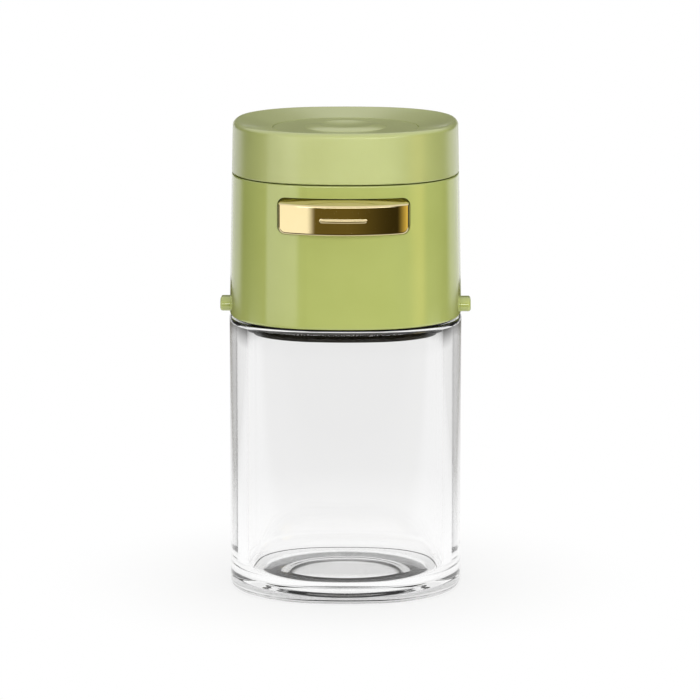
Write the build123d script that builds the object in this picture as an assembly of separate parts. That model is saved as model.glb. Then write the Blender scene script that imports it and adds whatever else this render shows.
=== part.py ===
from build123d import *
from math import atan2, cos, degrees, radians, sin, sqrt
import os

# Measuring spice jar: a soft-square glass jar, a push-in dosing head and a lift-off cap.
# Millimetres, +Z up, origin at the middle of the jar's foot, push button facing -Y.

# Soft-square plan: radii of its bowed sides and of its corners, as shares of half the jar's width
SIDE_RADIUS_SHARE = 1.856
CORNER_RADIUS_SHARE = 0.81

# Glass jar
JAR_WIDTH = 65.0
JAR_HEIGHT = 76.4
JAR_WALL = 4.6
JAR_FLOOR = 3.2
JAR_FOOT_FILLET = 1.6
JAR_LIP_FILLET = 1.1
JAR_FLOOR_FILLET = 5.0
PUNT_RADIUS = 19.0
PUNT_RUN = 1.8
PUNT_DEPTH = 0.8
PUNT_FILLET = 2.4

# Silicone seal between jar and head: a flange on the rim and two lips in the mouth
SEAL_FLANGE = 0.5
SEAL_FLANGE_INSET = 1.3
SEAL_SLEEVE = 1.2
SEAL_HEIGHT = 3.2
LIP_REACH = 1.0
LIP_HEIGHT = 0.8
LIP_PITCH = 1.3
LIP_DROP = 0.4
LIP_GAP = 0.25

# Head shell
HEAD_HEIGHT = 39.6
HEAD_BASE_INSET = 0.1
HEAD_TOP_INSET = 0.85
SHELL_WALL = 2.4
HEAD_BASE_FILLET = 0.7
HEAD_TOP_FILLET = 0.35
LUG_LENGTH = 6.5
LUG_HEIGHT = 4.0
LUG_REACH = 2.6
LUG_RISE = 0.2
LUG_FILLET = 0.7
POST_RADIUS = 2.2
POST_INSET = 2.1

# Base plug in the jar's mouth
BASE_PLATE = 3.0
PLUG_WALL = 2.0
PLUG_RIM = 1.0
PLUG_RIM_REACH = 0.6

# Funnel and its gasket
GASKET = 0.8
GASKET_INSET = 6.0
FUNNEL_FLANGE = 1.5
FUNNEL_WALL = 1.4

# Dose pocket, one press is about 0.4 ml
POCKET_LENGTH = 10.5
POCKET_WIDTH = 5.0
POCKET_CORNER = 1.2
POCKET_LAND = 1.5
INLET_Y = -6.0

# Dose slider and its track
SLIDER_HEIGHT = 8.0
TRACK_FLOOR = 2.0
TRACK_WALL = 1.8
TRACK_POST_GAP = 1.4
TRACK_SHELL_GAP = 5.45
TRACK_FRONT_GAP = 1.0
TRACK_BACK_GAP = 6.5
RAIL_WIDTH = 1.8
WIPER = 1.1
WIPER_LAND = 3.0
PIN_RADIUS = 1.0
PIN_EDGE = 2.5
PIN_BEHIND_FRONT = 7.5
PIN_SEAT = 1.2

# Return springs
SPRING_EDGE = 3.5
SPRING_RADIUS = 2.2
SPRING_WIRE = 0.35
SPRING_TURNS = 8
SPRING_BORE = 2.9
SPRING_BORE_DEPTH = 8.0
PEG_RADIUS = 1.4
PEG_LENGTH = 3.5

# Push button: gold shell over the slider's nose
BUTTON_WIDTH = 35.9
BUTTON_HEIGHT = 9.7
BUTTON_CORNER = 2.0
BUTTON_MIDDLE = 31.1
BUTTON_PROUD = 3.0
BUTTON_DEPTH = 8.3
BUTTON_SKIN = 1.8
BUTTON_GAP = 0.2
FACE_RADIUS = 33.0
BEVEL_DROP = 1.6
BEVEL_RUN = 2.6
FACE_EDGE = 0.5
BAR_LENGTH = 12.8
BAR_WIDTH = 1.3
BAR_RISE = 0.35
BAR_DROP = 0.9

# Top deck with the outlet and the spigot that the cap sits on
DECK = 2.2
SPIGOT_INSET = 9.0
SPIGOT_WALL = 2.0
SPIGOT_HEIGHT = 5.0
OUTLET_WALL = 1.5
OUTLET_HEIGHT = 2.5
RING_SECTION = 1.4
RING_SINK = 1.35
RING_RISE = 2.0

# Cap
CAP_GAP = 0.3
CAP_HEIGHT = 14.0
CAP_BASE_INSET = 0.88
CAP_TOP_INSET = 1.17
CAP_WALL = 2.2
CAP_EDGE_FILLET = 1.3
CAP_BASE_FILLET = 0.3
CREST = 0.4
DISH_DEPTH = 1.95
DISC_RADIUS = 20.4
DISC = 1.2
DISC_EDGE = 0.25
BOSS_RADIUS = 11.5
BOSS_RISE = 0.9
BOSS_CREST_SHARE = 0.62
DIMPLE_DEPTH = 0.8
CAP_ROOF = 2.0
LINER_PLATE = 1.5
LINER_WALL = 1.5
STOPPER_OVERHANG = 1.2
STOPPER_TONGUE = 1.0
STOPPER_STEM_RADIUS = 2.0
CAP_SCREW_SPREAD = 27.0
CAP_BOSS_RADIUS = 2.6
CAP_BOSS_DEPTH = 4.6

# Self-tapping screws
SCREW_RADIUS = 0.9
SCREW_LENGTH = 7.0
SCREW_HEAD_RADIUS = 1.75
SCREW_HEAD = 1.2
SCREW_RECESS = 0.6
SCREW_RECESS_WIDTH = 0.5
SCREW_HOLE_GAP = 0.2
HEAD_SINK = 0.1
CAP_SCREW_LENGTH = 6.5

# Clearances: pieces that seat, pieces that slide, and the length that cuts run past a face
FIT_GAP = 0.05
RUN_GAP = 0.1
OVERRUN = 1.0

QUARTERS = (0, 90, 180, 270)
SIDES = (-1, 1)

# Plan arcs
HALF = JAR_WIDTH / 2
SIDE_RADIUS = SIDE_RADIUS_SHARE * HALF
CORNER_RADIUS = CORNER_RADIUS_SHARE * HALF
SIDE_CENTRE = HALF - SIDE_RADIUS
CORNER_CENTRE = (SIDE_CENTRE + sqrt(2 * (SIDE_RADIUS - CORNER_RADIUS) ** 2 - SIDE_CENTRE ** 2)) / 2
SIDE_ANGLE = degrees(atan2(CORNER_CENTRE, CORNER_CENTRE - SIDE_CENTRE))
DIAGONAL = CORNER_CENTRE * sqrt(2) + CORNER_RADIUS

# Levels, from the foot up
HEAD_BASE = JAR_HEIGHT + SEAL_FLANGE
HEAD_TOP = HEAD_BASE + HEAD_HEIGHT
BASE_TOP = HEAD_BASE + BASE_PLATE
FUNNEL_BASE = BASE_TOP + GASKET
BUTTON_Z = HEAD_BASE + BUTTON_MIDDLE
SLIDER_LOW = BUTTON_Z - SLIDER_HEIGHT / 2
SLIDER_HIGH = BUTTON_Z + SLIDER_HEIGHT / 2
TRACK_TOP = SLIDER_LOW - RUN_GAP - WIPER
TRACK_LOW = TRACK_TOP - TRACK_FLOOR
DECK_LOW = SLIDER_HIGH + RUN_GAP + WIPER
DECK_TOP = DECK_LOW + DECK
OUTLET_TOP = DECK_TOP + OUTLET_HEIGHT
CAP_BASE = HEAD_TOP + CAP_GAP
CAP_TOP = CAP_BASE + CAP_HEIGHT
DISH_FLOOR = CAP_TOP - DISH_DEPTH
DISC_SEAT = DISH_FLOOR - DISC
ROOF_LOW = DISC_SEAT - CAP_ROOF
LINER_LOW = ROOF_LOW - LINER_PLATE

# Insets from the jar's outline
LIP_INSET = JAR_WALL + LIP_GAP
SLEEVE_INSET = LIP_INSET + LIP_REACH
SEAT_INSET = SLEEVE_INSET + SEAL_SLEEVE
MOUTH_INSET = SEAT_INSET + PLUG_WALL
CAVITY_INSET = HEAD_TOP_INSET + SHELL_WALL
CAP_CAVITY_INSET = CAP_TOP_INSET + CAP_WALL
LINER_INNER = SPIGOT_INSET - RUN_GAP
LINER_OUTER = LINER_INNER - LINER_WALL
DISH_INSET = CAP_TOP_INSET + CAP_EDGE_FILLET + CREST

# Screw places
POST_REACH = (DIAGONAL - CAVITY_INSET - POST_INSET) * cos(radians(45))
POSTS = [(x * POST_REACH, y * POST_REACH) for x in SIDES for y in SIDES]
CAP_SCREWS = [(x * CAP_SCREW_SPREAD / 2, 0) for x in SIDES]
TIGHT_HOLE = SCREW_RADIUS + FIT_GAP
FREE_HOLE = SCREW_RADIUS + SCREW_HOLE_GAP
HEAD_HOLE = SCREW_HEAD_RADIUS + SCREW_HOLE_GAP
HEAD_POCKET = SCREW_HEAD + HEAD_SINK

# Places across the slide: the track runs between the screw posts
TRACK_HALF = POST_REACH - POST_RADIUS - TRACK_POST_GAP
SLIDER_HALF = TRACK_HALF - TRACK_WALL - RUN_GAP
SPRING_X = SLIDER_HALF - SPRING_EDGE
PIN_X = SLIDER_HALF - PIN_EDGE

# Places along the slide, from the front back
STROKE = POCKET_WIDTH + POCKET_LAND
OUTLET_Y = INLET_Y + STROKE
BUTTON_TAPER_SHARE = BUTTON_MIDDLE / HEAD_HEIGHT
HEAD_FRONT = HALF - HEAD_BASE_INSET - (HEAD_TOP_INSET - HEAD_BASE_INSET) * BUTTON_TAPER_SHARE
FACE_Y = -HEAD_FRONT - BUTTON_PROUD
FACE_AXIS_Y = FACE_Y + FACE_RADIUS
BUTTON_REAR = FACE_Y + BUTTON_DEPTH
TRACK_FRONT = BUTTON_REAR + STROKE + TRACK_FRONT_GAP
TRACK_BACK = HALF - CAVITY_INSET - TRACK_SHELL_GAP
TRACK_INNER_BACK = TRACK_BACK - TRACK_WALL
SLIDER_REAR = TRACK_INNER_BACK - STROKE - TRACK_BACK_GAP
PIN_Y = TRACK_FRONT + PIN_BEHIND_FRONT
BORE_END = SLIDER_REAR - SPRING_BORE_DEPTH


def soft_square(inset):
    """Face of the plan, drawn in from the jar's outline by inset"""
    edges = []
    for turn in QUARTERS:
        side = CenterArc((SIDE_CENTRE, 0), SIDE_RADIUS - inset, -SIDE_ANGLE, 2 * SIDE_ANGLE)
        corner = CenterArc((CORNER_CENTRE, CORNER_CENTRE), CORNER_RADIUS - inset,
                           SIDE_ANGLE, 90 - 2 * SIDE_ANGLE)
        edges += [Rot(Z=turn) * side, Rot(Z=turn) * corner]
    return Face(Wire(edges))


def split_circle(radius):
    """Round face split where the soft square's arcs meet, so that a loft between them runs true"""
    meet = SIDE_CENTRE + SIDE_RADIUS * cos(radians(SIDE_ANGLE))
    split = degrees(atan2(SIDE_RADIUS * sin(radians(SIDE_ANGLE)), meet))
    edges = []
    for turn in QUARTERS:
        side = CenterArc((0, 0), radius, -split, 2 * split)
        corner = CenterArc((0, 0), radius, split, 90 - 2 * split)
        edges += [Rot(Z=turn) * side, Rot(Z=turn) * corner]
    return Face(Wire(edges))


def rounded_slot(length, width, corner):
    """Rounded rectangle with its edges in the same order as the soft square's"""
    signs = ((1, 1), (-1, 1), (-1, -1), (1, -1))
    corners = [CenterArc((x * (length / 2 - corner), y * (width / 2 - corner)), corner, turn, 90)
               for (x, y), turn in zip(signs, QUARTERS)]
    sides = [Line(corners[k - 1] @ 1, corners[k] @ 0) for k in range(len(corners))]
    return Face(Wire([edge for pair in zip(sides, corners) for edge in pair]))


def upright(inset, low, high):
    """Straight block on the soft-square plan"""
    return Pos(Z=low) * extrude(soft_square(inset), high - low)


def drafted(low_inset, low, high_inset, high):
    """Tapered block on the soft-square plan"""
    return loft([Pos(Z=low) * soft_square(low_inset), Pos(Z=high) * soft_square(high_inset)], ruled=True)


def ring(outer_inset, inner_inset, low, high):
    """Band between two soft-square outlines"""
    return upright(outer_inset, low, high) - upright(inner_inset, low - OVERRUN, high + OVERRUN)


def slab(x0, x1, y0, y1, z0, z1):
    """Box between two corners"""
    middle = Pos((x0 + x1) / 2, (y0 + y1) / 2, (z0 + z1) / 2)
    return middle * Box(x1 - x0, y1 - y0, z1 - z0)


def rod(radius, x, y, low, high):
    """Upright cylinder"""
    return Pos(x, y, (low + high) / 2) * Cylinder(radius, high - low)


def slot_block(length, width, corner, y, low, high):
    """Upright block with a rounded-rectangle plan"""
    return Pos(0, y, low) * extrude(rounded_slot(length, width, corner), high - low)


def pocket_block(margin, y, low, high):
    """Dose pocket's plan, grown by margin"""
    return slot_block(POCKET_LENGTH + 2 * margin, POCKET_WIDTH + 2 * margin, POCKET_CORNER + margin,
                      y, low, high)


def front_block(width, height, corner, front, back):
    """Block with a rounded-rectangle front, running back from y = front"""
    face = Plane.XZ * RectangleRounded(width, height, corner)
    return Pos(0, back, BUTTON_Z) * extrude(face, back - front)


def screw(length):
    """Pan-head screw along -Z with its seat at the origin"""
    head = rod(SCREW_HEAD_RADIUS, 0, 0, 0, SCREW_HEAD)
    top = head.edges().group_by(Axis.Z)[-1]
    body = fillet(top, SCREW_HEAD / 3) + rod(SCREW_RADIUS, 0, 0, -length, 0)
    arm = SCREW_HEAD_RADIUS / 2
    half = SCREW_RECESS_WIDTH / 2
    deep = SCREW_HEAD - SCREW_RECESS
    body -= slab(-arm, arm, -half, half, deep, SCREW_HEAD + OVERRUN)
    body -= slab(-half, half, -arm, arm, deep, SCREW_HEAD + OVERRUN)
    return body


def glass_jar():
    body = upright(0, 0, JAR_HEIGHT)
    body = fillet(body.edges().group_by(Axis.Z)[0], JAR_FOOT_FILLET)
    hollow = upright(JAR_WALL, JAR_FLOOR, JAR_HEIGHT + OVERRUN)
    body -= fillet(hollow.edges().group_by(Axis.Z)[0], JAR_FLOOR_FILLET)
    body = fillet(body.edges().group_by(Axis.Z)[-1], JAR_LIP_FILLET)
    body -= Pos(Z=PUNT_DEPTH / 2) * Cone(PUNT_RADIUS, PUNT_RADIUS - PUNT_RUN, PUNT_DEPTH)
    rims = body.edges().filter_by(GeomType.CIRCLE)
    rims = rims.filter_by(lambda edge: edge.is_closed and edge.center().Z < JAR_FLOOR)
    return fillet(rims, PUNT_FILLET)


def plug_seal():
    body = ring(SEAL_FLANGE_INSET, SEAT_INSET, JAR_HEIGHT, HEAD_BASE)
    body += ring(SLEEVE_INSET, SEAT_INSET, HEAD_BASE - SEAL_HEIGHT, HEAD_BASE)
    for count in range(2):
        high = JAR_HEIGHT - LIP_DROP - count * LIP_PITCH
        body += ring(LIP_INSET, SEAT_INSET, high - LIP_HEIGHT, high)
    return body


def base_plug():
    foot = HEAD_BASE - SEAL_HEIGHT
    body = upright(CAVITY_INSET + FIT_GAP, HEAD_BASE, BASE_TOP)
    body += upright(SEAT_INSET, foot, HEAD_BASE)
    body += upright(SEAT_INSET - PLUG_RIM_REACH, foot - PLUG_RIM, foot)
    body -= upright(MOUTH_INSET, foot - PLUG_RIM - OVERRUN, BASE_TOP + OVERRUN)
    for x, y in POSTS:
        body -= rod(HEAD_HOLE, x, y, HEAD_BASE - OVERRUN, HEAD_BASE + HEAD_POCKET)
        body -= rod(FREE_HOLE, x, y, HEAD_BASE, BASE_TOP + OVERRUN)
    return body


def base_screws():
    seat = HEAD_BASE + HEAD_POCKET
    return Compound([Pos(x, y, seat) * (Rot(X=180) * screw(SCREW_LENGTH)) for x, y in POSTS])


def clear_of_posts(body, low, high):
    """Cut round the shell's screw posts"""
    for x, y in POSTS:
        body -= rod(POST_RADIUS + SCREW_HOLE_GAP, x, y, low - OVERRUN, high + OVERRUN)
    return body


def funnel_gasket():
    return clear_of_posts(ring(GASKET_INSET, MOUTH_INSET, BASE_TOP, FUNNEL_BASE), BASE_TOP, FUNNEL_BASE)


def funnel_taper(wall, low, high):
    """Taper from the jar's mouth to the dose slot, grown by wall"""
    mouth = Pos(Z=low) * soft_square(MOUTH_INSET - wall)
    throat = rounded_slot(POCKET_LENGTH + 2 * wall, POCKET_WIDTH + 2 * wall, POCKET_CORNER + wall)
    return loft([mouth, Pos(0, INLET_Y, high) * throat], ruled=True)


def funnel():
    flange_top = FUNNEL_BASE + FUNNEL_FLANGE
    body = clear_of_posts(upright(GASKET_INSET, FUNNEL_BASE, flange_top), FUNNEL_BASE, flange_top)
    body += funnel_taper(FUNNEL_WALL, FUNNEL_BASE, TRACK_LOW)
    return body - funnel_taper(0, FUNNEL_BASE, TRACK_LOW)


def lug(side):
    """Finger lug on the shell's side, rounded at both ends"""
    middle = HEAD_BASE + LUG_RISE + LUG_HEIGHT / 2
    reach = HALF - HEAD_BASE_INSET + LUG_REACH
    root = HALF - HEAD_TOP_INSET - SHELL_WALL / 2
    outline = Plane.YZ * SlotOverall(LUG_LENGTH, LUG_HEIGHT)
    body = Pos(root, 0, middle) * extrude(outline, reach - root)
    body = fillet(body.edges().group_by(Axis.X)[-1], LUG_FILLET)
    return body if side > 0 else mirror(body, Plane.YZ)


def head_shell():
    body = drafted(HEAD_BASE_INSET, HEAD_BASE, HEAD_TOP_INSET, HEAD_TOP)
    body = fillet(body.edges().group_by(Axis.Z)[0], HEAD_BASE_FILLET)
    body = fillet(body.edges().group_by(Axis.Z)[-1], HEAD_TOP_FILLET)
    for side in SIDES:
        body += lug(side)
    body -= upright(CAVITY_INSET, HEAD_BASE - OVERRUN, HEAD_TOP + OVERRUN)
    body -= front_block(BUTTON_WIDTH + 2 * BUTTON_GAP, BUTTON_HEIGHT + 2 * BUTTON_GAP,
                        BUTTON_CORNER + BUTTON_GAP, FACE_Y - OVERRUN, BUTTON_REAR + STROKE)
    for x, y in POSTS:
        web = slab(0, POST_INSET + SHELL_WALL / 2, -POST_RADIUS, POST_RADIUS, BASE_TOP, DECK_LOW)
        body += rod(POST_RADIUS, x, y, BASE_TOP, DECK_LOW)
        body += Pos(x, y, 0) * (Rot(Z=degrees(atan2(y, x))) * web)
        body -= rod(TIGHT_HOLE, x, y, BASE_TOP - OVERRUN, BASE_TOP + SCREW_LENGTH)
        body -= rod(TIGHT_HOLE, x, y, DECK_LOW - SCREW_LENGTH, DECK_LOW + OVERRUN)
    return body


def rails(low, high):
    """Two strips that the slider's edges run on"""
    strip = slab(SLIDER_HALF - RAIL_WIDTH, SLIDER_HALF, TRACK_FRONT, TRACK_INNER_BACK, low, high)
    return strip + mirror(strip, Plane.YZ)


def slide_track():
    inner = SLIDER_HALF + RUN_GAP
    body = slab(-TRACK_HALF, TRACK_HALF, TRACK_FRONT, TRACK_BACK, TRACK_LOW, DECK_LOW)
    body -= slab(-inner, inner, TRACK_FRONT - OVERRUN, TRACK_INNER_BACK, TRACK_TOP, DECK_LOW + OVERRUN)
    body += rails(TRACK_TOP, SLIDER_LOW - RUN_GAP)
    body -= pocket_block(0, INLET_Y, TRACK_LOW - OVERRUN, TRACK_TOP + OVERRUN)
    for side in SIDES:
        peg = Rot(X=90) * Cylinder(PEG_RADIUS, PEG_LENGTH)
        body += Pos(side * SPRING_X, TRACK_INNER_BACK - PEG_LENGTH / 2, BUTTON_Z) * peg
        body -= rod(PIN_RADIUS + FIT_GAP, side * PIN_X, PIN_Y, TRACK_TOP - PIN_SEAT, DECK_LOW)
    return body


def inlet_wiper():
    body = pocket_block(WIPER_LAND, INLET_Y, TRACK_TOP, TRACK_TOP + WIPER)
    return body - pocket_block(0, INLET_Y, TRACK_TOP - OVERRUN, DECK_LOW)


def outlet_wiper():
    body = pocket_block(WIPER_LAND, OUTLET_Y, DECK_LOW - WIPER, DECK_LOW)
    return body - pocket_block(0, OUTLET_Y, DECK_LOW - WIPER - OVERRUN, DECK_TOP)


def stop_pins():
    low = TRACK_TOP - PIN_SEAT
    high = DECK_LOW + PIN_SEAT
    return Compound([rod(PIN_RADIUS, side * PIN_X, PIN_Y, low, high) for side in SIDES])


def return_spring(side):
    """Coil between the slider's bore and the track's back wall, clear of both by a seating gap"""
    length = TRACK_INNER_BACK - BORE_END - 2 * SPRING_WIRE - 2 * FIT_GAP
    path = Helix(length / SPRING_TURNS, length, SPRING_RADIUS)
    wire = Plane(path @ 0, z_dir=path % 0) * Circle(SPRING_WIRE)
    coil = sweep(wire, path=path, is_frenet=True)
    start = BORE_END + SPRING_WIRE + FIT_GAP
    return Pos(side * SPRING_X, start, BUTTON_Z) * (Rot(X=-90) * coil)


def face_drum(radius, low, high):
    """Drum about the button face's upright axis"""
    return rod(radius, 0, FACE_AXIS_Y, low, high)


def button_form():
    """Body turned about the face's axis, bevelled along its top edge"""
    low = BUTTON_Z - BUTTON_HEIGHT / 2
    high = BUTTON_Z + BUTTON_HEIGHT / 2
    profile = Polyline((0, low), (FACE_RADIUS - FACE_EDGE, low), (FACE_RADIUS, low + FACE_EDGE),
                       (FACE_RADIUS, high - BEVEL_DROP), (FACE_RADIUS - BEVEL_RUN, high), (0, high),
                       close=True)
    turned = revolve(Plane.XZ * make_face(profile), Axis.Z)
    return Pos(0, FACE_AXIS_Y, 0) * turned


def button_shell():
    body = button_form() & front_block(BUTTON_WIDTH, BUTTON_HEIGHT, BUTTON_CORNER,
                                       FACE_Y - OVERRUN, BUTTON_REAR)
    hollow = face_drum(FACE_RADIUS - BUTTON_SKIN, BUTTON_Z - BUTTON_HEIGHT, BUTTON_Z + BUTTON_HEIGHT)
    hollow &= front_block(BUTTON_WIDTH - 2 * BUTTON_SKIN, BUTTON_HEIGHT - 2 * BUTTON_SKIN,
                          BUTTON_CORNER / 2, FACE_Y, BUTTON_REAR + OVERRUN)
    bar_face = Plane.XZ * SlotOverall(BAR_LENGTH, BAR_WIDTH)
    bar = Pos(0, FACE_AXIS_Y, BUTTON_Z - BAR_DROP) * extrude(bar_face, FACE_RADIUS + OVERRUN)
    bar &= face_drum(FACE_RADIUS + BAR_RISE, BUTTON_Z - BUTTON_HEIGHT, BUTTON_Z + BUTTON_HEIGHT)
    bar -= face_drum(FACE_RADIUS - BUTTON_SKIN / 2, BUTTON_Z - BUTTON_HEIGHT, BUTTON_Z + BUTTON_HEIGHT)
    return body - hollow + bar


def dose_slider():
    body = slab(-SLIDER_HALF, SLIDER_HALF, BUTTON_REAR, SLIDER_REAR, SLIDER_LOW, SLIDER_HIGH)
    margin = BUTTON_SKIN + FIT_GAP
    nose = face_drum(FACE_RADIUS - margin, SLIDER_LOW, SLIDER_HIGH)
    nose &= front_block(BUTTON_WIDTH - 2 * margin, BUTTON_HEIGHT - 2 * margin, BUTTON_CORNER / 2,
                        FACE_Y, BUTTON_REAR)
    body += nose
    body -= pocket_block(0, INLET_Y, SLIDER_LOW - OVERRUN, SLIDER_HIGH + OVERRUN)
    for side in SIDES:
        bore = Rot(X=90) * Cylinder(SPRING_BORE, 2 * SPRING_BORE_DEPTH)
        body -= Pos(side * SPRING_X, SLIDER_REAR, BUTTON_Z) * bore
        slot = Rot(Z=90) * SlotCenterToCenter(STROKE, 2 * (PIN_RADIUS + RUN_GAP))
        slot = extrude(slot, SLIDER_HEIGHT + 2 * OVERRUN)
        body -= Pos(side * PIN_X, PIN_Y - STROKE / 2, SLIDER_LOW - OVERRUN) * slot
    return body


def top_deck():
    body = upright(CAVITY_INSET + FIT_GAP, DECK_LOW, DECK_TOP)
    body += ring(SPIGOT_INSET, SPIGOT_INSET + SPIGOT_WALL, DECK_LOW, DECK_TOP + SPIGOT_HEIGHT)
    groove = DECK_TOP + RING_RISE
    body -= ring(SPIGOT_INSET - OVERRUN, SPIGOT_INSET + RING_SINK, groove, groove + RING_SECTION)
    body += pocket_block(OUTLET_WALL, OUTLET_Y, DECK_LOW, OUTLET_TOP)
    body += rails(SLIDER_HIGH + RUN_GAP, DECK_LOW)
    body -= pocket_block(0, OUTLET_Y, DECK_LOW - OVERRUN, OUTLET_TOP + OVERRUN)
    for x, y in POSTS:
        body -= rod(HEAD_HOLE, x, y, DECK_TOP - HEAD_POCKET, DECK_TOP + OVERRUN)
        body -= rod(FREE_HOLE, x, y, DECK_LOW - OVERRUN, DECK_TOP)
    for side in SIDES:
        body -= rod(PIN_RADIUS + FIT_GAP, side * PIN_X, PIN_Y, SLIDER_HIGH, DECK_LOW + PIN_SEAT)
    return body


def deck_screws():
    seat = DECK_TOP - HEAD_POCKET
    return Compound([Pos(x, y, seat) * screw(SCREW_LENGTH) for x, y in POSTS])


def spigot_ring():
    middle = SPIGOT_INSET + RING_SINK - RING_SECTION / 2
    path = Pos(Z=DECK_TOP + RING_RISE + RING_SECTION / 2) * soft_square(middle).outer_wire()
    section = Plane(path @ 0, z_dir=path % 0) * Circle(RING_SECTION / 2)
    return sweep(section, path=path)


def cap_shell():
    body = drafted(CAP_BASE_INSET, CAP_BASE, CAP_TOP_INSET, CAP_TOP)
    body = fillet(body.edges().group_by(Axis.Z)[-1], CAP_EDGE_FILLET)
    body = fillet(body.edges().group_by(Axis.Z)[0], CAP_BASE_FILLET)
    brim = soft_square(DISH_INSET)
    body -= loft([Pos(Z=DISH_FLOOR) * split_circle(DISC_RADIUS), Pos(Z=CAP_TOP) * brim], ruled=True)
    body -= rod(DISC_RADIUS, 0, 0, DISC_SEAT, CAP_TOP)
    body -= upright(CAP_CAVITY_INSET, CAP_BASE - OVERRUN, ROOF_LOW)
    for x, y in CAP_SCREWS:
        body -= rod(HEAD_HOLE, x, y, DISC_SEAT - HEAD_POCKET, DISC_SEAT + OVERRUN)
        body -= rod(FREE_HOLE, x, y, ROOF_LOW - OVERRUN, DISC_SEAT)
    return body


def cap_disc():
    edge = DISC_RADIUS - FIT_GAP
    crest = BOSS_RADIUS * BOSS_CREST_SHARE
    top = DISH_FLOOR + BOSS_RISE
    dimple = top - DIMPLE_DEPTH
    outline = Polyline((0, dimple), (0, DISC_SEAT), (edge, DISC_SEAT), (edge, DISH_FLOOR - DISC_EDGE),
                       (edge - DISC_EDGE, DISH_FLOOR), (BOSS_RADIUS, DISH_FLOOR))
    shoulder = TangentArc((crest, top), (BOSS_RADIUS, DISH_FLOOR), tangent=(1, 0))
    hollow = TangentArc((0, dimple), (crest, top), tangent=(1, 0))
    section = make_face([*outline.edges(), shoulder, hollow])
    return revolve(Plane.XZ * section, Axis.Z)


def cap_liner():
    body = ring(LINER_OUTER, LINER_INNER, DECK_TOP, ROOF_LOW)
    body += upright(LINER_OUTER, LINER_LOW, ROOF_LOW)
    for x, y in CAP_SCREWS:
        body += rod(CAP_BOSS_RADIUS, x, y, LINER_LOW - CAP_BOSS_DEPTH, LINER_LOW)
        body -= rod(TIGHT_HOLE, x, y, LINER_LOW - CAP_BOSS_DEPTH - OVERRUN, ROOF_LOW + OVERRUN)
    return body - rod(STOPPER_STEM_RADIUS, 0, OUTLET_Y, LINER_LOW - OVERRUN, ROOF_LOW + OVERRUN)


def outlet_stopper():
    low = OUTLET_TOP + RUN_GAP
    body = pocket_block(OUTLET_WALL + STOPPER_OVERHANG, OUTLET_Y, low, LINER_LOW)
    inner = 3 * RUN_GAP
    tongue = slot_block(POCKET_LENGTH - 2 * inner, POCKET_WIDTH - 2 * inner, POCKET_CORNER - inner,
                        OUTLET_Y, low - STOPPER_TONGUE, low)
    return body + tongue + rod(STOPPER_STEM_RADIUS, 0, OUTLET_Y, LINER_LOW, ROOF_LOW)


def cap_screws():
    seat = DISC_SEAT - HEAD_POCKET
    return Compound([Pos(x, y, seat) * screw(CAP_SCREW_LENGTH) for x, y in CAP_SCREWS])


PIECES = {
    "glass_jar": glass_jar,
    "plug_seal": plug_seal,
    "base_plug": base_plug,
    "base_screws": base_screws,
    "funnel_gasket": funnel_gasket,
    "funnel": funnel,
    "head_shell": head_shell,
    "slide_track": slide_track,
    "inlet_wiper": inlet_wiper,
    "outlet_wiper": outlet_wiper,
    "stop_pins": stop_pins,
    "return_spring_left": lambda: return_spring(-1),
    "return_spring_right": lambda: return_spring(1),
    "dose_slider": dose_slider,
    "button_shell": button_shell,
    "top_deck": top_deck,
    "deck_screws": deck_screws,
    "spigot_ring": spigot_ring,
    "cap_shell": cap_shell,
    "cap_disc": cap_disc,
    "cap_liner": cap_liner,
    "outlet_stopper": outlet_stopper,
    "cap_screws": cap_screws,
}

os.makedirs("parts", exist_ok=True)
for node, make in PIECES.items():
    export_step(make(), f"parts/{node}.step")
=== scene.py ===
import math

import bpy
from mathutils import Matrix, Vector


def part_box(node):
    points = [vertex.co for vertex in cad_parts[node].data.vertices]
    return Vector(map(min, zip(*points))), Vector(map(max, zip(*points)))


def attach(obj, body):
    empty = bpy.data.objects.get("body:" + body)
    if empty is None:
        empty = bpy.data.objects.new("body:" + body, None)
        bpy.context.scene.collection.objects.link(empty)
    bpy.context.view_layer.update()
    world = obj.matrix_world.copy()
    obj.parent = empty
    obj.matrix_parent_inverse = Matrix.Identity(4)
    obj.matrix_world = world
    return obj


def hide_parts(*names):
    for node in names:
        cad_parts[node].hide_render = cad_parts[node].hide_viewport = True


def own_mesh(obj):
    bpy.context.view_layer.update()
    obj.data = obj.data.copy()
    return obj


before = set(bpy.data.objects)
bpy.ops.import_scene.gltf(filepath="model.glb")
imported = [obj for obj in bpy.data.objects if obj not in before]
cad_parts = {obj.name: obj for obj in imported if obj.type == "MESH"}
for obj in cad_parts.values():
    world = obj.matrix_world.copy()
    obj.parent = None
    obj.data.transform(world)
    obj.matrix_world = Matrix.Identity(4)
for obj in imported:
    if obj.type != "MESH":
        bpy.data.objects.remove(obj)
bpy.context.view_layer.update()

# Measuring spice jar in a white studio: clear glass jar, glossy green head with a gold push plate,
# satin green cap. Metres, +Z up, push plate facing -Y.

MM = 0.001

# Camera, matched to the photograph
CAMERA_TARGET = Vector((1.23 * MM, 0, 65.76 * MM))
CAMERA_DISTANCE = 1.246
CAMERA_PITCH = 10.1
CAMERA_TURN = 1.0
CAMERA_LENS_MM = 228.4
CAMERA_SENSOR_MM = 36.0

# Bounces of light that the thick glass needs
BOUNCES = {"max_bounces": 16, "glossy_bounces": 5, "transmission_bounces": 16}

# Lamps: place on a circle round the jar (turn from the camera's side, to the right), size and strength
LAMPS = {
    "softbox_front": dict(turn=5, distance=1.45, height=0.52, size=(1.4, 0.9), power=13.2),
    "softbox_left": dict(turn=-52, distance=0.62, height=0.36, size=(0.48, 0.72), power=0.3),
    "softbox_right": dict(turn=56, distance=0.8, height=0.2, size=(0.5, 0.8), power=1.7),
}

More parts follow.
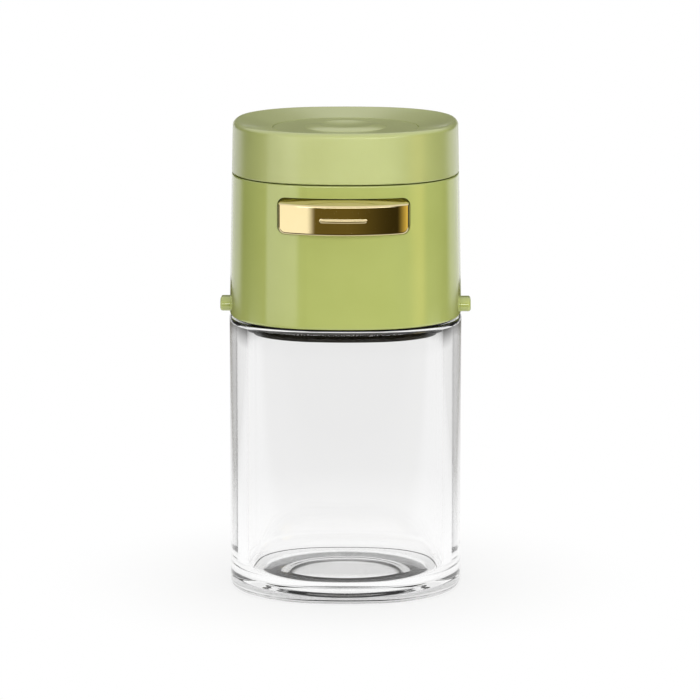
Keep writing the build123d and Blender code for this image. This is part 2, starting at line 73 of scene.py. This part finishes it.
# Floor
FLOOR_RADIUS = 0.55
FLOOR_POINTS = 96
FLOOR_WHITE = "#f4f4f2"
FLOOR_GLOOM = "#4d4320"
FLOOR_BOUNCE = 0.6
SHADOW_NEAR = 0.03
SHADOW_FAR = 0.09
SHADOW_CLEAR = 0.8

# Levels of light that the floor shows: what each is measured along, where it starts and ends,
# and its value at both. Slant is the lesser distance from the X and Y axes.
FLOOR_LEVELS = {
    # The two edge levels make a painted contact shadow: a dark ring under the jar's foot, seen only through
    # the glass
    "painted_shadow_inner_edge": ("radius", 14.5 * MM, 16.0 * MM, 1.25, 0.0),
    "painted_shadow_outer_edge": ("radius", 24.0 * MM, 25.5 * MM, 0.0, 1.0),
    "distance": ("radius", 0.07, 0.16, 1.0, 0.9),
    "outskirts": ("radius", 0.4, 0.45, 1.0, 0.0),
    "front": ("Y", -0.16, -0.06, 0.75, 1.0),
    "mirrored_front": ("Y", -0.16, -0.06, 0.0, 1.0),
    "mirrored_corners": ("slant", 0.05, 0.12, 1.0, 0.0),
}
FLOOR_MIRRORED = [("mirrored_front", "mirrored_corners")]
FLOOR_THROUGH_GLASS = [("painted_shadow_inner_edge",), ("painted_shadow_outer_edge", "distance", "outskirts", "front")]

# Levels of light in the world, measured along one part of the direction looked in
WORLD_LEVELS = {
    "wall": ("Y", 0.45, 0.7, 0.0, 1.0),
    "wall_foot": ("Z", 0.0, 0.08, 1.0, 0.1),
    "ceiling": ("Z", 0.35, 0.55, 0.0, 1.0),
    "left_panel": ("X", -0.6, -0.46, 1.25, 0.0),
    "left_panel_front": ("Y", -0.3, -0.2, 1.0, 0.0),
    "strip_foot": ("Z", 0.0, 0.04, 0.0, 1.0),
    "strip_head": ("Z", 0.11, 0.16, 1.0, 0.0),
    "strip": ("Y", -0.75, -0.6, 8.0, 0.0),
    "room": ("X", 0.0, 0.85, 1.0, 0.25),
    "room_front": ("Y", -0.2, 0.2, 1.0, 0.0),
    "right_panel": ("X", 0.78, 0.95, 0.0, 8.0),
    "right_panel_front": ("Y", -0.3, -0.1, 1.0, 0.0),
    "glass_above": ("Z", 0.02, 0.16, 1.0, 0.05),
    "glass_below": ("Z", -0.23, -0.18, 0.97, 0.88),
    "glass_right": ("X", 0.7, 0.9, 1.0, 0.2),
    "glass_left": ("X", -0.9, -0.7, 0.2, 1.0),
    "fill_behind": ("Y", 0.45, 0.7, 0.1, 1.0),
    "fill_above": ("Z", 0.75, 0.93, 0.0, 1.7),
}
WORLD_MIRRORED = [("wall", "wall_foot"), ("ceiling",), ("left_panel", "left_panel_front"),
                  ("strip_foot", "strip_head", "strip")]
WORLD_THROUGH_GLASS = [("glass_above", "glass_below", "glass_right", "glass_left")]
WORLD_FILL = [("fill_behind",), ("fill_above",)]
ROOM_MIRRORED = [("room", "room_front"), ("right_panel", "right_panel_front")]
ROOM = "#716231"
WHITE = "#ffffff"

# Soft-square plan, as shares of half the jar's width
SIDE_RADIUS_SHARE = 1.856
CORNER_RADIUS_SHARE = 0.81
SIDE_POINTS = 24
CORNER_POINTS = 56
ARC_POINTS = 10

# Glass jar
JAR_LOW, JAR_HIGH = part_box("glass_jar")
HALF = (JAR_HIGH.x - JAR_LOW.x) / 2
JAR_HEIGHT = JAR_HIGH.z - JAR_LOW.z
JAR_WALL = 4.6 * MM
JAR_FLOOR = 3.2 * MM
JAR_FOOT_FILLET = 1.6 * MM
JAR_LIP_FILLET = 1.1 * MM
JAR_FLOOR_FILLET = 5.0 * MM
PUNT_RADIUS = 19.0 * MM
PUNT_DEPTH = 0.8 * MM
PUNT_FILLET = 4.0 * MM

# Push plate
PLATE_LOW, PLATE_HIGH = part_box("button_shell")
PLATE_CORNER = 2.0 * MM
PLATE_RADIUS = 33.0 * MM
PLATE_SKIN = 1.8 * MM
PLATE_EDGE = 0.6 * MM
BEVEL_DROP = 1.6 * MM
BEVEL_RUN = 2.6 * MM
BEVEL_BLEND = 0.3 * MM
BAR_LENGTH = 12.8 * MM
BAR_WIDTH = 1.05 * MM
BAR_RISE = 0.35 * MM
BAR_DROP = 0.7 * MM
BAR_SLOPE = 0.3 * MM
PLATE_ROWS = 96
PLATE_COLUMNS = 240

# Return springs
COIL_WIRE = 0.35 * MM
COIL_TURNS = 8
COIL_DEAD_TURNS = 0.9
COIL_POINTS = 28
WIRE_POINTS = 10

# Range in which most of a noise pattern's values lie
NOISE_LOW = 0.3
NOISE_HIGH = 0.7


# Materials

def colour(hex_code):
    """sRGB hex code as linear light"""
    def linear(value):
        return value / 12.92 if value <= 0.04045 else ((value + 0.055) / 1.055) ** 2.4
    return (*[linear(int(hex_code[k:k + 2], 16) / 255) for k in (1, 3, 5)], 1.0)


def add(tree, kind, inputs=None, **settings):
    """Adds a node: settings are its own, inputs are constants, other nodes or their outputs"""
    made = tree.nodes.new(kind)
    for name, value in settings.items():
        setattr(made, name, value)
    for name, value in (inputs or {}).items():
        if isinstance(value, bpy.types.Node):
            value = value.outputs[0]
        if isinstance(value, bpy.types.NodeSocket):
            tree.links.new(value, made.inputs[name])
        else:
            made.inputs[name].default_value = value
    return made


def new_material(name):
    """Empty node material, its nodes and the place on the object"""
    material = bpy.data.materials.new(name)
    material.use_nodes = True
    tree = material.node_tree
    tree.nodes.clear()
    return material, tree, add(tree, "ShaderNodeTexCoord").outputs["Object"]


def per_metre(size_mm):
    """Noise scale whose cells are about this size"""
    return 1 / (size_mm * MM)


def tinted(tree, place, hex_low, hex_high, cell_mm):
    """Slight drift between two close colours"""
    noise = add(tree, "ShaderNodeTexNoise", {"Vector": place, "Scale": per_metre(cell_mm), "Detail": 3.0})
    ramp = add(tree, "ShaderNodeValToRGB", {"Fac": noise})
    ends = ((NOISE_LOW, hex_low), (NOISE_HIGH, hex_high))
    for element, (position, hex_code) in zip(ramp.color_ramp.elements, ends):
        element.position = position
        element.color = colour(hex_code)
    return ramp


def relief(tree, place, cell_mm, depth_mm, strength):
    """Noise relief of that cell size and depth, as a normal"""
    noise = add(tree, "ShaderNodeTexNoise", {"Vector": place, "Scale": per_metre(cell_mm), "Detail": 2.0})
    return add(tree, "ShaderNodeBump", {"Height": noise, "Distance": depth_mm * MM, "Strength": strength})


def spread(tree, place, cell_mm, low, high):
    """Roughness that drifts between two values"""
    noise = add(tree, "ShaderNodeTexNoise", {"Vector": place, "Scale": per_metre(cell_mm), "Detail": 4.0})
    return add(tree, "ShaderNodeMapRange", {"Value": noise, "From Min": NOISE_LOW, "From Max": NOISE_HIGH,
                                            "To Min": low, "To Max": high})


def pressed_soda_lime_glass():
    """Clear pressed glass, fire polished: the faintest waviness bends the lines seen through it"""
    material, tree, place = new_material("pressed_soda_lime_glass")
    shader = add(tree, "ShaderNodeBsdfPrincipled",
                 {"Base Color": colour("#fefefe"), "Roughness": 0.0, "IOR": 1.52, "Transmission Weight": 1.0,
                  "Normal": relief(tree, place, cell_mm=14.0, depth_mm=0.05, strength=0.12)})
    add(tree, "ShaderNodeOutputMaterial", {"Surface": shader})
    return material


def moulded_green_abs():
    """Polished ABS moulding: a clear gloss over the pistachio green, with a trace of flow in the tone"""
    material, tree, place = new_material("moulded_green_abs")
    shader = add(tree, "ShaderNodeBsdfPrincipled",
                 {"Base Color": tinted(tree, place, "#b0b968", "#b6bf6f", cell_mm=22.0),
                  "IOR": 1.5, "Specular IOR Level": 0.9,
                  "Roughness": spread(tree, place, cell_mm=9.0, low=0.09, high=0.13),
                  "Normal": relief(tree, place, cell_mm=6.0, depth_mm=0.03, strength=0.06)})
    add(tree, "ShaderNodeOutputMaterial", {"Surface": shader})
    return material


def grained_green_abs():
    """ABS from a spark-eroded mould, thinly lacquered: a fine satin grain, drawn at 0.3 mm so that it
    shows, under a sheen that picks out the edges"""
    material, tree, place = new_material("grained_green_abs")
    shader = add(tree, "ShaderNodeBsdfPrincipled",
                 {"Base Color": tinted(tree, place, "#adb46b", "#b3bb73", cell_mm=18.0),
                  "IOR": 1.56, "Specular IOR Level": 1.0,
                  "Roughness": spread(tree, place, cell_mm=0.5, low=0.28, high=0.36),
                  "Coat Weight": 0.3, "Coat Roughness": 0.1, "Coat IOR": 1.5,
                  "Normal": relief(tree, place, cell_mm=0.3, depth_mm=0.04, strength=0.35)})
    add(tree, "ShaderNodeOutputMaterial", {"Surface": shader})
    return material


def gold_plating():
    """Vacuum-plated gold over polished ABS: a dark-and-bright mirror with a trace of haze"""
    material, tree, place = new_material("gold_plating")
    shader = add(tree, "ShaderNodeBsdfPrincipled",
                 {"Base Color": tinted(tree, place, "#dacca1", "#decfa6", cell_mm=8.0), "Metallic": 1.0,
                  "Roughness": spread(tree, place, cell_mm=1.5, low=0.04, high=0.07),
                  "Normal": relief(tree, place, cell_mm=5.0, depth_mm=0.02, strength=0.05)})
    add(tree, "ShaderNodeOutputMaterial", {"Surface": shader})
    return material


def black_silicone():
    """Moulded black silicone rubber: deep black with a soft sheen, and dust-fine specks"""
    material, tree, place = new_material("black_silicone")
    shader = add(tree, "ShaderNodeBsdfPrincipled",
                 {"Base Color": tinted(tree, place, "#060606", "#0b0b0b", cell_mm=1.2),
                  "IOR": 1.41, "Specular IOR Level": 0.25,
                  "Roughness": spread(tree, place, cell_mm=2.0, low=0.16, high=0.24),
                  "Normal": relief(tree, place, cell_mm=0.4, depth_mm=0.03, strength=0.3)})
    add(tree, "ShaderNodeOutputMaterial", {"Surface": shader})
    return material


def milky_silicone():
    """Translucent silicone rubber: milky, soft light from within"""
    material, tree, place = new_material("milky_silicone")
    shader = add(tree, "ShaderNodeBsdfPrincipled",
                 {"Base Color": tinted(tree, place, "#dedbd0", "#e7e4da", cell_mm=3.0), "IOR": 1.41,
                  "Roughness": spread(tree, place, cell_mm=1.5, low=0.35, high=0.48),
                  "Subsurface Weight": 0.25, "Subsurface Radius": (2 * MM, 2 * MM, 2 * MM),
                  "Subsurface Scale": 1.0,
                  "Normal": relief(tree, place, cell_mm=0.5, depth_mm=0.02, strength=0.2)})
    add(tree, "ShaderNodeOutputMaterial", {"Surface": shader})
    return material


def white_polypropylene():
    """Moulded white polypropylene: waxy, slightly uneven sheen"""
    material, tree, place = new_material("white_polypropylene")
    shader = add(tree, "ShaderNodeBsdfPrincipled",
                 {"Base Color": tinted(tree, place, "#e4e2da", "#ebe9e2", cell_mm=6.0), "IOR": 1.49,
                  "Roughness": spread(tree, place, cell_mm=3.0, low=0.32, high=0.45),
                  "Normal": relief(tree, place, cell_mm=0.6, depth_mm=0.03, strength=0.15)})
    add(tree, "ShaderNodeOutputMaterial", {"Surface": shader})
    return material


def dark_polypropylene():
    """Moulded charcoal polypropylene: satin, a shade uneven"""
    material, tree, place = new_material("dark_polypropylene")
    shader = add(tree, "ShaderNodeBsdfPrincipled",
                 {"Base Color": tinted(tree, place, "#242523", "#2d2e2b", cell_mm=5.0), "IOR": 1.49,
                  "Roughness": spread(tree, place, cell_mm=2.5, low=0.38, high=0.5),
                  "Normal": relief(tree, place, cell_mm=0.5, depth_mm=0.03, strength=0.2)})
    add(tree, "ShaderNodeOutputMaterial", {"Surface": shader})
    return material


def drawn_stainless_steel():
    """Stainless steel wire and screws: bright and faintly mottled, the mottle coarse enough to show"""
    material, tree, place = new_material("drawn_stainless_steel")
    shader = add(tree, "ShaderNodeBsdfPrincipled",
                 {"Base Color": tinted(tree, place, "#aeb0b2", "#c4c6c8", cell_mm=0.8), "Metallic": 1.0,
                  "Roughness": spread(tree, place, cell_mm=0.6, low=0.22, high=0.36),
                  "Normal": relief(tree, place, cell_mm=0.3, depth_mm=0.01, strength=0.2)})
    add(tree, "ShaderNodeOutputMaterial", {"Surface": shader})
    return material


FINISHES = {
    "clear_glass": pressed_soda_lime_glass(),
    "green_gloss": moulded_green_abs(),
    "green_satin": grained_green_abs(),
    "gold_plate": gold_plating(),
    "black_silicone": black_silicone(),
    "pale_silicone": milky_silicone(),
    "white_plastic": white_polypropylene(),
    "dark_plastic": dark_polypropylene(),
    "steel": drawn_stainless_steel(),
}

for cad_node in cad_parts.values():
    for k, material in enumerate(cad_node.data.materials):
        cad_node.data.materials[k] = FINISHES[material.name.split(".")[0]]


# Pieces

SIDE_RADIUS = SIDE_RADIUS_SHARE * HALF
CORNER_RADIUS = CORNER_RADIUS_SHARE * HALF
SIDE_CENTRE = HALF - SIDE_RADIUS
CORNER_CENTRE = (SIDE_CENTRE + math.sqrt(2 * (SIDE_RADIUS - CORNER_RADIUS) ** 2 - SIDE_CENTRE ** 2)) / 2
SIDE_ANGLE = math.atan2(CORNER_CENTRE, CORNER_CENTRE - SIDE_CENTRE)


def mesh_piece(name, verts, faces, finish, body, node, normals=None):
    """Smooth mesh in a finish that rides a body and stands for a CAD node"""
    mesh = bpy.data.meshes.new(name)
    mesh.from_pydata(verts, [], faces)
    mesh.polygons.foreach_set("use_smooth", [True] * len(faces))
    if normals:
        mesh.normals_split_custom_set_from_vertices(normals)
    mesh.materials.append(FINISHES[finish])
    made = bpy.data.objects.new(name, mesh)
    bpy.context.scene.collection.objects.link(made)
    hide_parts(node)
    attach(made, body)
    return made


def plan_points():
    """Centre, radius and outward angle of each point round the soft square"""
    points = []
    for quarter in range(4):
        turn = quarter * math.pi / 2
        across = Vector((math.cos(turn), math.sin(turn)))
        along = Vector((-math.sin(turn), math.cos(turn)))
        for k in range(SIDE_POINTS):
            angle = turn + SIDE_ANGLE * (2 * k / SIDE_POINTS - 1)
            points.append((SIDE_CENTRE * across, SIDE_RADIUS, angle))
        for k in range(CORNER_POINTS):
            angle = turn + SIDE_ANGLE + (math.pi / 2 - 2 * SIDE_ANGLE) * k / CORNER_POINTS
            points.append((CORNER_CENTRE * (across + along), CORNER_RADIUS, angle))
    return points


PLAN = plan_points()


def square_at(inset):
    """Outline drawn in from the jar's by inset: points and outward directions"""
    ways = [Vector((math.cos(angle), math.sin(angle))) for _, _, angle in PLAN]
    return [(centre + (radius - inset) * way, way) for (centre, radius, _), way in zip(PLAN, ways)]


def round_at(radius):
    """Circle with as many points, each on the line from the middle to the outline's point"""
    ways = [point.normalized() for point, _ in square_at(0)]
    return [(radius * way, way) for way in ways]


def roll(inset, level, radius, start, end):
    """Stations of the soft square round an arc of the jar's section, from one lean to another (degrees)"""
    stations = []
    for k in range(ARC_POINTS + 1):
        lean = math.radians(start + (end - start) * k / ARC_POINTS)
        stations.append((square_at, inset - radius * math.cos(lean), level + radius * math.sin(lean), lean))
    return stations


def lofted(stations):
    """Closed mesh through the stations, from a middle point to a middle point, with true normals"""
    count = len(PLAN)
    verts, normals, faces = [], [], []
    for outline, size, level, lean in stations:
        for point, way in outline(size):
            verts.append((point.x, point.y, level))
            normals.append((way.x * math.cos(lean), way.y * math.cos(lean), math.sin(lean)))
    for row in range(len(stations) - 1):
        for k in range(count):
            a, b = row * count + k, row * count + (k + 1) % count
            faces.append((a, b, b + count, a + count))
    for row, turn in ((0, -1), (len(stations) - 1, 1)):
        level, lean = stations[row][2:]
        verts.append((0, 0, level))
        normals.append((0, 0, math.copysign(1, math.sin(lean))))
        for k in range(count):
            pair = (row * count + k, row * count + (k + 1) % count)
            faces.append((*pair[::turn], len(verts) - 1))
    return verts, normals, faces


def jar_glass():
    """Jar from the middle of its underside, up its wall, over the lip and down to its inner floor"""
    rise = math.acos(1 - PUNT_DEPTH / (2 * PUNT_FILLET))
    roof = PUNT_RADIUS - 2 * PUNT_FILLET * math.sin(rise)
    leans = [rise * k / ARC_POINTS for k in range(ARC_POINTS + 1)]
    stations = []
    for lean in leans:
        reach = roof + PUNT_FILLET * math.sin(lean)
        level = PUNT_DEPTH - PUNT_FILLET * (1 - math.cos(lean))
        stations.append((round_at, reach, level, -math.pi / 2 - lean))
    for lean in leans[-2::-1]:
        reach = PUNT_RADIUS - PUNT_FILLET * math.sin(lean)
        level = PUNT_FILLET * (1 - math.cos(lean))
        stations.append((round_at, reach, level, -math.pi / 2 - lean))
    stations += roll(JAR_FOOT_FILLET, JAR_FOOT_FILLET, JAR_FOOT_FILLET, -90, 0)
    lip = JAR_HEIGHT - JAR_LIP_FILLET
    stations += roll(JAR_LIP_FILLET, lip, JAR_LIP_FILLET, 0, 90)
    stations += roll(JAR_WALL - JAR_LIP_FILLET, lip, JAR_LIP_FILLET, 90, 180)
    bowl = JAR_WALL + JAR_FLOOR_FILLET
    for k in range(ARC_POINTS + 1):
        lean = math.radians(180 - 90 * k / ARC_POINTS)
        level = JAR_FLOOR + JAR_FLOOR_FILLET * (1 - math.sin(lean))
        stations.append((square_at, bowl + JAR_FLOOR_FILLET * math.cos(lean), level, lean))
    verts, normals, faces = lofted(stations)
    mesh_piece("jar_glass", verts, faces, "clear_glass", "jar", "glass_jar", normals)


def eased(value):
    """Smooth step from 0 to 1"""
    value = min(max(value, 0), 1)
    return value * value * (3 - 2 * value)


def plate_face(x, z, half_width, half_height):
    """How far the plate's face lies behind its frontmost line, x and z from its middle"""
    fall = z - (half_height - BEVEL_DROP)
    slope = BEVEL_RUN / BEVEL_DROP
    bend = max(fall, 0) if abs(fall) > BEVEL_BLEND else (fall + BEVEL_BLEND) ** 2 / (4 * BEVEL_BLEND)
    radius = PLATE_RADIUS - slope * bend
    depth = PLATE_RADIUS - math.sqrt(radius ** 2 - x ** 2)
    past = Vector((max(abs(x) - half_width + PLATE_CORNER, 0), max(abs(z) - half_height + PLATE_CORNER, 0)))
    within = min(half_width - abs(x), half_height - abs(z))
    if past.x > 0 and past.y > 0:
        within = PLATE_CORNER - past.length
    short = min(max(PLATE_EDGE - within, 0), PLATE_EDGE)
    depth += PLATE_EDGE - math.sqrt(PLATE_EDGE ** 2 - short ** 2)
    beside = Vector((max(abs(x) - (BAR_LENGTH - BAR_WIDTH) / 2, 0), z + BAR_DROP)).length
    return depth - BAR_RISE * eased((BAR_WIDTH / 2 - beside) / BAR_SLOPE)


def push_plate():
    """Gold push plate, hollow at the back: bowed face, bevelled along its top, rounded edges, a raised bar"""
    half_width = (PLATE_HIGH.x - PLATE_LOW.x) / 2
    half_height = (PLATE_HIGH.z - PLATE_LOW.z) / 2
    middle = (PLATE_HIGH.z + PLATE_LOW.z) / 2
    front = PLATE_LOW.y + BAR_RISE
    verts, faces = [], []
    for row in range(PLATE_ROWS + 1):
        z = half_height * (2 * row / PLATE_ROWS - 1)
        past = max(abs(z) - half_height + PLATE_CORNER, 0)
        reach = half_width - PLATE_CORNER + math.sqrt(max(PLATE_CORNER ** 2 - past ** 2, 0))
        for k in range(PLATE_COLUMNS + 1):
            x = reach * (2 * k / PLATE_COLUMNS - 1)
            verts.append((x, front + plate_face(x, z, half_width, half_height), middle + z))
    wide = PLATE_COLUMNS + 1
    for row in range(PLATE_ROWS):
        for k in range(PLATE_COLUMNS):
            a = row * wide + k
            faces.append((a, a + 1, a + 1 + wide, a + wide))
    rim = list(range(PLATE_COLUMNS))
    rim += [row * wide + PLATE_COLUMNS for row in range(PLATE_ROWS)]
    rim += [PLATE_ROWS * wide + k for k in range(PLATE_COLUMNS, 0, -1)]
    rim += [row * wide for row in range(PLATE_ROWS, 0, -1)]
    inner_x = (half_width - PLATE_SKIN) / half_width
    inner_z = (half_height - PLATE_SKIN) / half_height
    loops = [rim]
    for shrink_x, shrink_z, rear in ((1, 1, True), (inner_x, inner_z, True), (inner_x, inner_z, False)):
        loop = []
        for k in rim:
            x, _, z = verts[k]
            inside = front + plate_face(x, 0, half_width, half_height) + PLATE_SKIN
            loop.append(len(verts))
            verts.append((x * shrink_x, PLATE_HIGH.y if rear else inside, middle + (z - middle) * shrink_z))
        loops.append(loop)
    for near, far in zip(loops, loops[1:]):
        for k in range(len(rim)):
            step = (k + 1) % len(rim)
            faces.append((near[step], near[k], far[k], far[step]))
    faces.append(loops[-1])
    mesh_piece("push_plate", verts, faces, "gold_plate", "button", "button_shell")


def return_coil(side):
    """Coil spring with closed end turns, squeezed against the track's back wall by the button"""
    node = f"return_spring_{side}"
    low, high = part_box(node)
    start = low.y + COIL_WIRE
    length = high.y - low.y - 2 * COIL_WIRE
    radius = (high.x - low.x) / 2 - COIL_WIRE
    centre = Vector(((low.x + high.x) / 2, 0, (low.z + high.z) / 2))
    dead = 2 * COIL_WIRE * COIL_DEAD_TURNS
    live_turns = COIL_TURNS - 2 * COIL_DEAD_TURNS
    count = COIL_TURNS * COIL_POINTS
    verts, faces = [], []
    for k in range(count + 1):
        turns = COIL_TURNS * k / count
        open_turns = min(max(turns - COIL_DEAD_TURNS, 0), live_turns)
        along = start + 2 * COIL_WIRE * (turns - open_turns) + (length - 2 * dead) * open_turns / live_turns
        out = Vector((math.cos(2 * math.pi * turns), 0, math.sin(2 * math.pi * turns)))
        for j in range(WIRE_POINTS):
            angle = 2 * math.pi * j / WIRE_POINTS
            place = centre + (radius + COIL_WIRE * math.cos(angle)) * out
            verts.append((place.x, along + COIL_WIRE * math.sin(angle), place.z))
    for k in range(count):
        for j in range(WIRE_POINTS):
            a, b = k * WIRE_POINTS + j, k * WIRE_POINTS + (j + 1) % WIRE_POINTS
            faces.append((a, b, b + WIRE_POINTS, a + WIRE_POINTS))
    faces.append(list(range(WIRE_POINTS))[::-1])
    faces.append([count * WIRE_POINTS + j for j in range(WIRE_POINTS)])
    made = mesh_piece(f"return_coil_{side}", verts, faces, "steel", "head", node)
    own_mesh(made)


jar_glass()
push_plate()
return_coil("left")
return_coil("right")


# Stage: floor, world, lamps, camera

def light_levels(tree, table, measures, **settings):
    """Nodes that give the levels of a table, by name"""
    levels = {}
    for name, (measure, start, end, low, high) in table.items():
        levels[name] = add(tree, "ShaderNodeMapRange",
                           {"Value": measures[measure], "From Min": start, "From Max": end,
                            "To Min": low, "To Max": high}, **settings)
    return levels


def gathered(tree, levels, groups, operation):
    """Light of several places: the levels of each multiplied, then the places put together"""
    light = 0.0
    for names in groups:
        share = 1.0
        for name in names:
            share = add(tree, "ShaderNodeMath", {0: share, 1: levels[name]}, operation="MULTIPLY")
        light = add(tree, "ShaderNodeMath", {0: light, 1: share}, operation=operation)
    return light


def white_sweep():
    """Matt white paint. To the eye it glows white and keeps a trace of the jar's shadow. Mirrors see it
    dim in front and at the corners. Through the glass it has a painted contact shadow, a dark ring under
    the jar's foot, and its outskirts are dark"""
    material, tree, place = new_material("white_sweep")
    rays = add(tree, "ShaderNodeLightPath").outputs
    parts = add(tree, "ShaderNodeSeparateXYZ", {"Vector": place}).outputs
    radius = add(tree, "ShaderNodeVectorMath", {0: place}, operation="LENGTH").outputs["Value"]
    from_y = add(tree, "ShaderNodeMath", {0: parts["X"]}, operation="ABSOLUTE")
    from_x = add(tree, "ShaderNodeMath", {0: parts["Y"]}, operation="ABSOLUTE")
    slant = add(tree, "ShaderNodeMath", {0: from_y, 1: from_x}, operation="MINIMUM")
    levels = light_levels(tree, FLOOR_LEVELS, {"radius": radius, "Y": parts["Y"], "slant": slant})
    mirrored = gathered(tree, levels, FLOOR_MIRRORED, "MAXIMUM")
    through = gathered(tree, levels, FLOOR_THROUGH_GLASS, "MAXIMUM")
    clear = add(tree, "ShaderNodeMapRange", {"Value": radius, "From Min": SHADOW_NEAR, "From Max": SHADOW_FAR,
                                             "To Min": SHADOW_CLEAR, "To Max": 1.0},
                interpolation_type="SMOOTHSTEP")
    shine = add(tree, "ShaderNodeMath", {0: rays["Is Glossy Ray"], 1: mirrored}, operation="MULTIPLY")
    shine = add(tree, "ShaderNodeMath", {0: rays["Is Camera Ray"], 1: shine}, operation="MAXIMUM")
    shine = add(tree, "ShaderNodeMath", {0: shine, 1: clear}, operation="MULTIPLY")
    shine = add(tree, "ShaderNodeMath", {0: shine, 1: rays["Is Transmission Ray"]}, operation="MAXIMUM")
    bounce = add(tree, "ShaderNodeMath", {0: rays["Is Diffuse Ray"], 1: FLOOR_BOUNCE}, operation="MULTIPLY")
    shine = add(tree, "ShaderNodeMath", {0: shine, 1: bounce}, operation="MAXIMUM")
    strength = add(tree, "ShaderNodeMix", {"Factor": rays["Is Transmission Ray"], "A": 1.0, "B": through})
    direct = add(tree, "ShaderNodeMath", {0: 1.0, 1: rays["Is Glossy Ray"]}, operation="SUBTRACT")
    bright = add(tree, "ShaderNodeMath", {0: direct, 1: mirrored}, operation="MAXIMUM")
    gloom = add(tree, "ShaderNodeBsdfDiffuse", {"Color": colour(FLOOR_GLOOM)})
    white = add(tree, "ShaderNodeBsdfDiffuse", {"Color": colour(FLOOR_WHITE)})
    paint = add(tree, "ShaderNodeMixShader", {0: bright, 1: gloom, 2: white})
    glow = add(tree, "ShaderNodeEmission", {"Color": colour(WHITE), "Strength": strength})
    shown = add(tree, "ShaderNodeMixShader", {0: shine, 1: paint, 2: glow})
    add(tree, "ShaderNodeOutputMaterial", {"Surface": shown})
    return material


def floor():
    """Round white floor"""
    mesh = bpy.data.meshes.new("floor")
    turns = [2 * math.pi * k / FLOOR_POINTS for k in range(FLOOR_POINTS)]
    rim = [(FLOOR_RADIUS * math.cos(a), FLOOR_RADIUS * math.sin(a), 0) for a in turns]
    mesh.from_pydata(rim, [], [list(range(FLOOR_POINTS))])
    mesh.materials.append(white_sweep())
    made = bpy.data.objects.new("floor", mesh)
    bpy.context.scene.collection.objects.link(made)


def studio_world():
    """White to the eye. Mirrors see a wall behind that is white at its foot, a white ceiling, a panel on
    the front left, a low strip of light in front, and a dim warm room there with a bright panel on its
    right. Matt surfaces are lit from behind and above. Through the glass it is pale, and dark above and
    far to the sides"""
    world = bpy.data.worlds.new("studio")
    world.use_nodes = True
    tree = world.node_tree
    tree.nodes.clear()
    rays = add(tree, "ShaderNodeLightPath").outputs
    way = add(tree, "ShaderNodeTexCoord").outputs["Generated"]
    parts = add(tree, "ShaderNodeSeparateXYZ", {"Vector": way}).outputs
    levels = light_levels(tree, WORLD_LEVELS, parts, interpolation_type="SMOOTHSTEP")
    mirrored = gathered(tree, levels, WORLD_MIRRORED, "MAXIMUM")
    through = gathered(tree, levels, WORLD_THROUGH_GLASS, "MAXIMUM")
    fill = gathered(tree, levels, WORLD_FILL, "MAXIMUM")
    room = gathered(tree, levels, ROOM_MIRRORED, "ADD")
    room = add(tree, "ShaderNodeMath", {0: room, 1: rays["Is Glossy Ray"]}, operation="MULTIPLY")
    level = add(tree, "ShaderNodeMix", {"Factor": rays["Is Glossy Ray"], "A": fill, "B": mirrored})
    level = add(tree, "ShaderNodeMix", {"Factor": rays["Is Transmission Ray"], "A": level, "B": through})
    level = add(tree, "ShaderNodeMix", {"Factor": rays["Is Camera Ray"], "A": level, "B": 1.0})
    white = add(tree, "ShaderNodeBackground", {"Color": colour(WHITE), "Strength": level})
    warm = add(tree, "ShaderNodeBackground", {"Color": colour(ROOM), "Strength": room})
    both = add(tree, "ShaderNodeAddShader", {0: white, 1: warm})
    add(tree, "ShaderNodeOutputWorld", {"Surface": both})
    bpy.context.scene.world = world


def lamp(name, turn, distance, height, size, power):
    """Softbox on a circle round the jar, facing its axis. Mirrors and glass see the world's panels instead"""
    data = bpy.data.lights.new(name, "AREA")
    data.shape = "RECTANGLE"
    data.size, data.size_y = size
    data.energy = power
    made = bpy.data.objects.new(name, data)
    made.visible_glossy = False
    made.visible_transmission = False
    bpy.context.scene.collection.objects.link(made)
    angle = math.radians(turn)
    made.location = (distance * math.sin(angle), -distance * math.cos(angle), height)
    made.rotation_euler = (math.pi / 2, 0, angle)


def camera():
    """Long lens, a little above the jar and a touch to its right"""
    data = bpy.data.cameras.new("camera")
    data.lens = CAMERA_LENS_MM
    data.sensor_width = CAMERA_SENSOR_MM
    made = bpy.data.objects.new("camera", data)
    bpy.context.scene.collection.objects.link(made)
    turn = math.radians(CAMERA_TURN)
    pitch = math.radians(CAMERA_PITCH)
    back = Vector((math.sin(turn) * math.cos(pitch), -math.cos(turn) * math.cos(pitch), math.sin(pitch)))
    made.location = CAMERA_TARGET + CAMERA_DISTANCE * back
    made.rotation_mode = "QUATERNION"
    made.rotation_quaternion = (-back).to_track_quat("-Z", "Y")
    bpy.context.scene.camera = made


floor()
studio_world()
for lamp_name, facts in LAMPS.items():
    lamp(lamp_name, **facts)
camera()
bpy.context.scene.view_settings.view_transform = "Standard"
for bounce_limit, count in BOUNCES.items():
    setattr(bpy.context.scene.cycles, bounce_limit, count)

bpy.context.view_layer.update()
